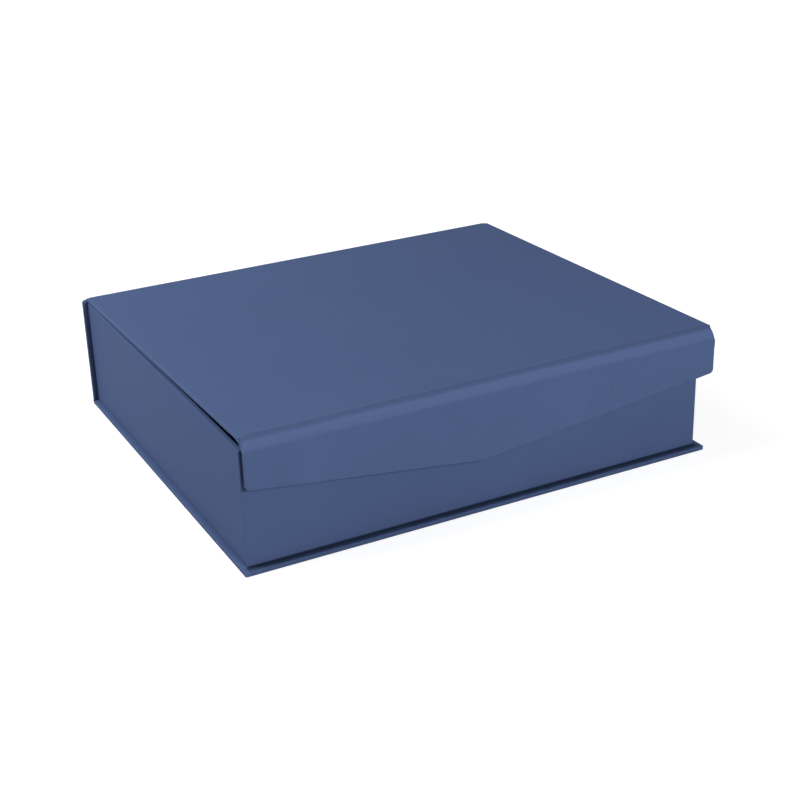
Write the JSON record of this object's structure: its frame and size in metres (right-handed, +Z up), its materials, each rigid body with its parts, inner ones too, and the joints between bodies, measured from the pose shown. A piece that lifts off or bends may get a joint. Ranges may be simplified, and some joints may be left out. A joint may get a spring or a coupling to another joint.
{
  "type": "clamshell book box",
  "caption": "Rigid clamshell box for papers and keepsakes: a wrapped board tray in a hinged book case whose pointed front flap closes on hidden magnets.",
  "frame": {"origin": "centre of the base's underside, on the surface that the box rests on", "axes": "+X to the right along the front, +Y from the flap to the spine, +Z up"},
  "size_m": [0.2426, 0.2121, 0.0634],
  "materials": {
    "wrapping_paper": "smooth satin paper, steel blue",
    "lining_paper": "smooth matt paper, steel blue",
    "corner_tape": "gummed kraft paper tape",
    "greyboard": "uncoated greyboard",
    "magnet_steel": "plated discs"
  },
  "bodies": {
    "case": {"base_board": "greyboard", "base_wrap": "wrapping_paper", "base_lining": "lining_paper", "base_hinge_paper": "wrapping_paper", "spine_board": "greyboard", "spine_wrap": "wrapping_paper", "spine_lining": "lining_paper", "tray_floor_board": "greyboard", "tray_front_board": "greyboard", "tray_rear_board": "greyboard", "tray_left_board": "greyboard", "tray_right_board": "greyboard", "tray_corner_stays": "corner_tape", "tray_wrap": "wrapping_paper", "tray_wall_linings": "lining_paper", "tray_floor_lining": "lining_paper", "tray_magnets": "magnet_steel", "lid_hinge_paper": "wrapping_paper"},
    "lid": {"lid_board": "greyboard", "lid_wrap": "wrapping_paper", "lid_lining": "lining_paper", "flap_hinge_paper": "wrapping_paper"},
    "flap": {"flap_board": "greyboard", "flap_wrap": "wrapping_paper", "flap_lining": "lining_paper", "flap_magnets": "magnet_steel"}
  },
  "joints": [
    {"name": "lid_hinge", "type": "hinge", "parent": "case", "child": "lid", "pos_m": [0, 0.1047, 0.0586], "axis": [-1, 0, 0], "range_deg": [0, 180], "deforming": ["lid_hinge_paper"]},
    {"name": "flap_hinge", "type": "hinge", "parent": "lid", "child": "flap", "pos_m": [0, -0.1047, 0.06147], "axis": [-1, 0, 0], "range_deg": [0, 135], "deforming": ["flap_hinge_paper"]}
  ]
}
